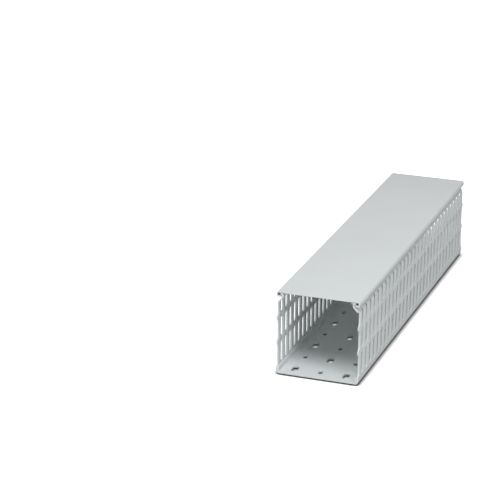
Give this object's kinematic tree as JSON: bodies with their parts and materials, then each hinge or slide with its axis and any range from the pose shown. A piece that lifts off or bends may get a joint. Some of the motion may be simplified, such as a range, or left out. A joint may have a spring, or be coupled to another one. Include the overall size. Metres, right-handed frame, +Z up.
{
  "type": "slotted wire duct",
  "caption": "Slotted cable duct: an open channel with finger-slotted walls and a perforated base, closed by a flat clip-on lid that slides along its rails.",
  "frame": {"origin": "centre of the underside of the base, on the mounting face", "axes": "+Z up from the mounting face to the lid, +Y along the duct, +X across it"},
  "size_m": [0.0804, 0.375, 0.082],
  "materials": {
    "channel_plastic": "matt extruded light grey plastic",
    "lid_plastic": "matt extruded light grey plastic with a faint sheen"
  },
  "bodies": {
    "channel": {"slotted_channel": "channel_plastic"},
    "lid": {"clip_on_lid": "lid_plastic"}
  },
  "joints": [
    {"name": "lid_slide", "type": "slide", "parent": "channel", "child": "lid", "axis": [0, 1, 0], "range_m": [-0.336, 0.336]}
  ]
}
